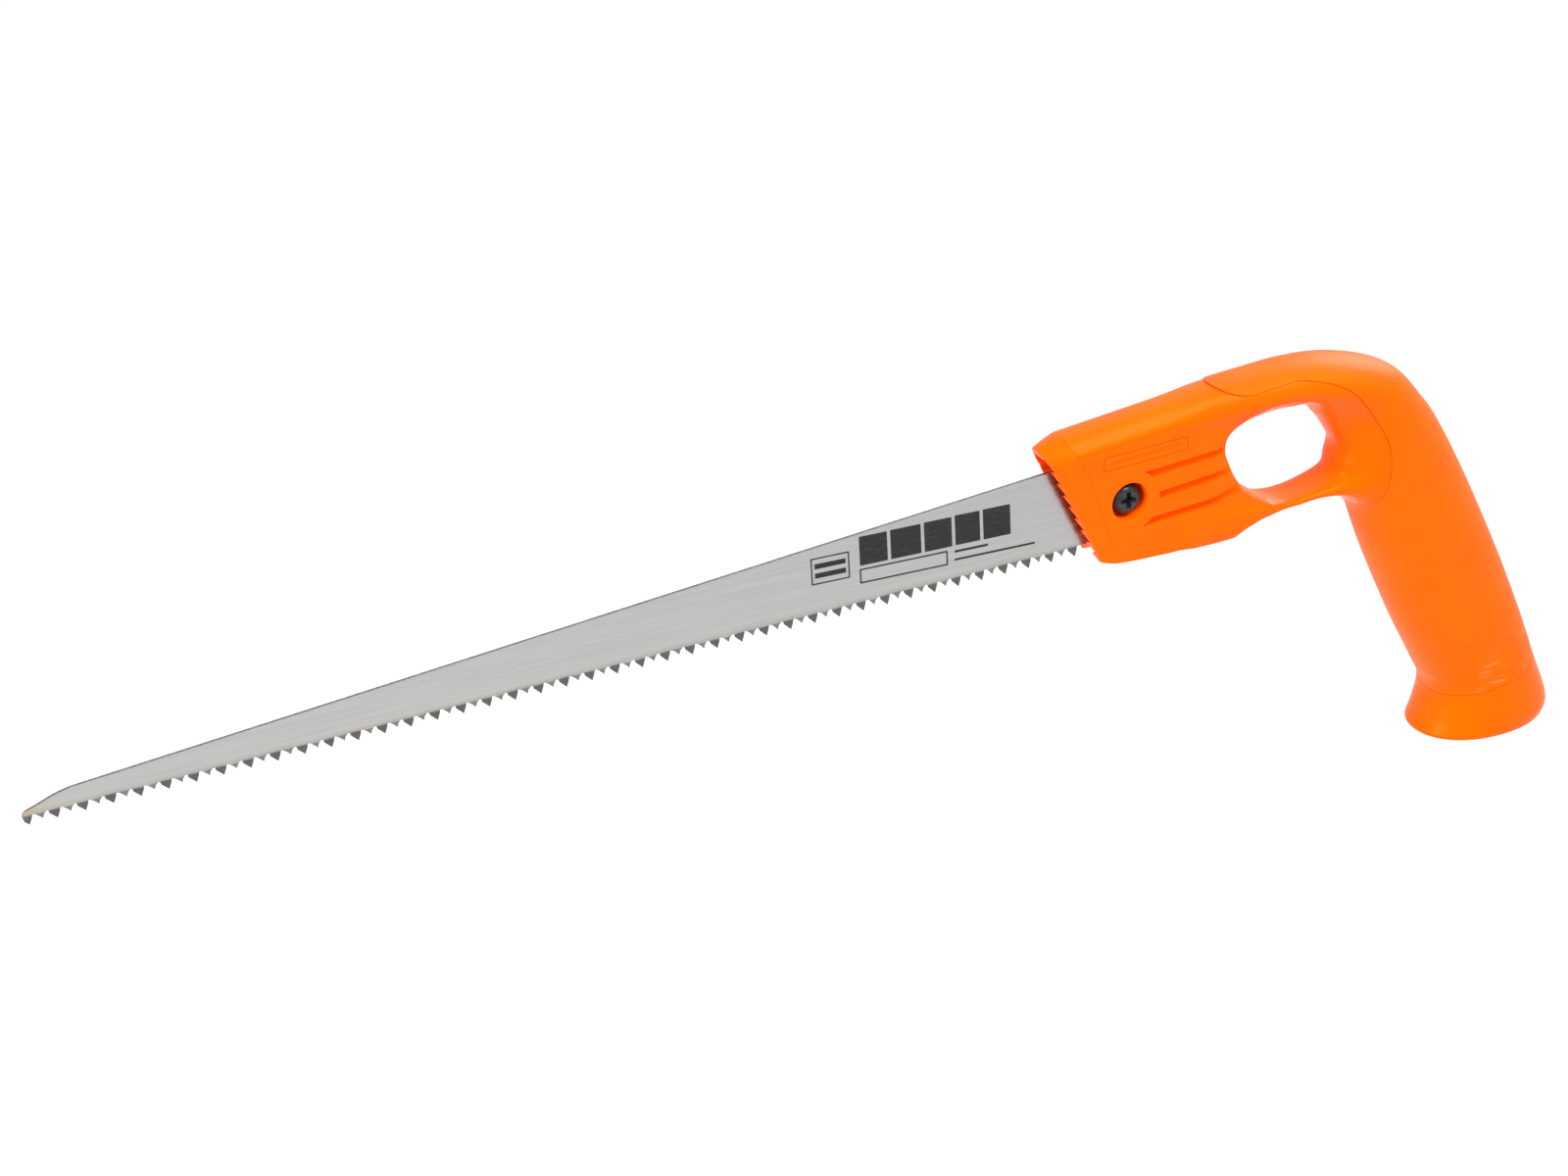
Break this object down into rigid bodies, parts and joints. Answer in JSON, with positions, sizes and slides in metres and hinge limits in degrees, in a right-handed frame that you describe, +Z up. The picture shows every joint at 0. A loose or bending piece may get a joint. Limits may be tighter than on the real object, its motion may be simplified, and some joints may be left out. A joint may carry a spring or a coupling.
{
  "type": "compass saw",
  "caption": "Compass saw with a tapered, alternately set blade clamped by a screw and nut in an orange pistol-grip handle with a finger hole.",
  "frame": {"origin": "centre of the hand grip, in the blade's middle plane", "axes": "+X along the tooth line from the blade's point to the handle; +Y across the saw, away from the screw head; +Z up, teeth pointing down"},
  "size_m": [0.4574, 0.0344, 0.1336],
  "materials": {
    "blade_steel": "satin, brushed lengthwise, darker ground teeth",
    "handle_plastic": "smooth moulded orange",
    "grip_skin": "fine matte texture, same orange",
    "black_hardware": "black oxide, semi-gloss",
    "zinc_hardware": "zinc plated"
  },
  "bodies": {
    "handle": {"handle_core": "handle_plastic", "grip_skin": "grip_skin", "clamp_nut": "zinc_hardware"},
    "blade": {"blade": "blade_steel"},
    "washer": {"washer": "black_hardware"},
    "screw": {"clamp_screw": "black_hardware"}
  },
  "joints": [
    {"name": "blade_slide", "type": "slide", "parent": "handle", "child": "blade", "axis": [-1, 0, 0], "range_m": [0, 0.03]},
    {"name": "screw_travel", "type": "slide", "parent": "handle", "child": "washer", "axis": [0, -1, 0], "range_m": [0, 0.0024]},
    {"name": "screw_turn", "type": "hinge", "parent": "washer", "child": "screw", "pos_m": [-0.1044, 0, 0.0459], "axis": [0, -1, 0], "range_deg": [0, 1080]}
  ],
  "couplings": [
    {"joint": "screw_turn", "follows": "screw_travel", "rad_per_m": 7854}
  ]
}
